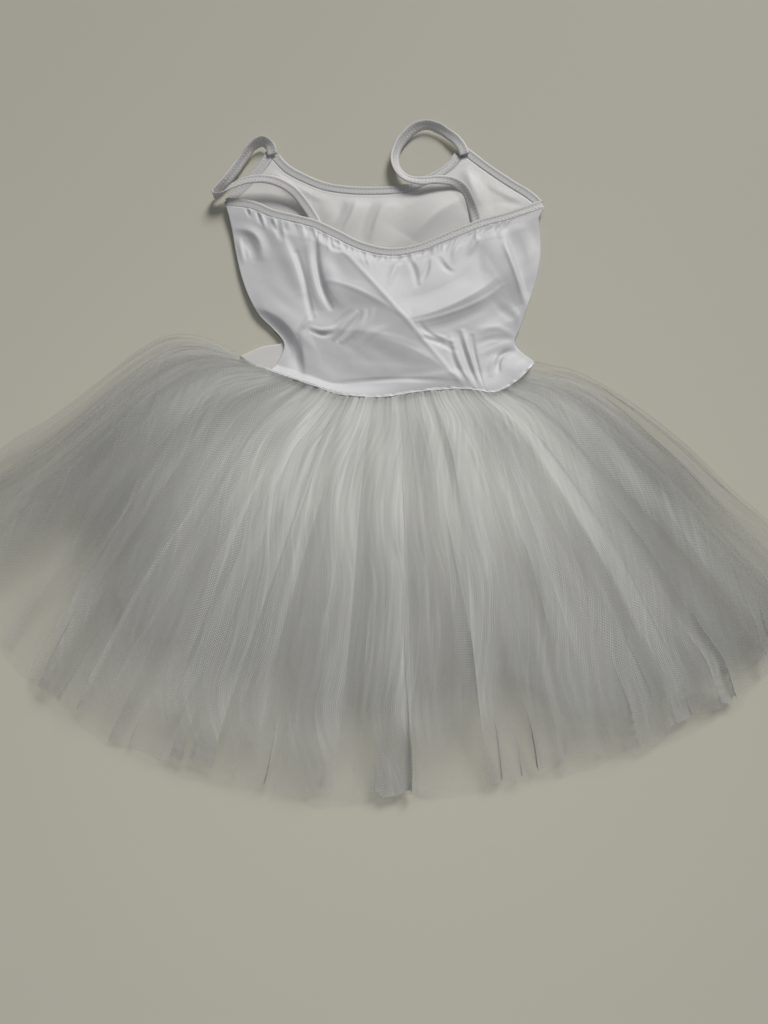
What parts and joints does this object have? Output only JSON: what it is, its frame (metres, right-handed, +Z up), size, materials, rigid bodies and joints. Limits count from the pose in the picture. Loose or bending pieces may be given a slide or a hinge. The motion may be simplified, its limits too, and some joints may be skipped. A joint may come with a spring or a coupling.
{
  "type": "ballet tutu",
  "caption": "Child's white ballet tutu laid flat, back upwards: camisole bodice with narrow bindings and looped straps over a gathered, layered tulle skirt.",
  "frame": {"origin": "middle of the bottom of the laid-out dress's box, on the surface that it lies on", "axes": "+X across the skirt to the wearer's right, +Y from the hem to the neck, +Z up from the surface; the back of the dress faces +Z"},
  "size_m": [0.538, 0.47, 0.0306],
  "materials": {
    "jersey": "satin",
    "edging": "satin",
    "tulle": "matte"
  },
  "bodies": {
    "root": {"bodice_front": "jersey", "bodice_back": "jersey", "binding_back_neck": "edging", "binding_front_neck": "edging", "binding_arm_left": "edging", "binding_arm_right": "edging", "strap_left": "edging", "strap_right": "edging", "skirt_outer_front": "tulle", "skirt_middle_front": "tulle", "skirt_inner_front": "tulle", "skirt_inner_back": "tulle", "skirt_middle_back": "tulle", "skirt_outer_back": "tulle"}
  },
  "joints": []
}
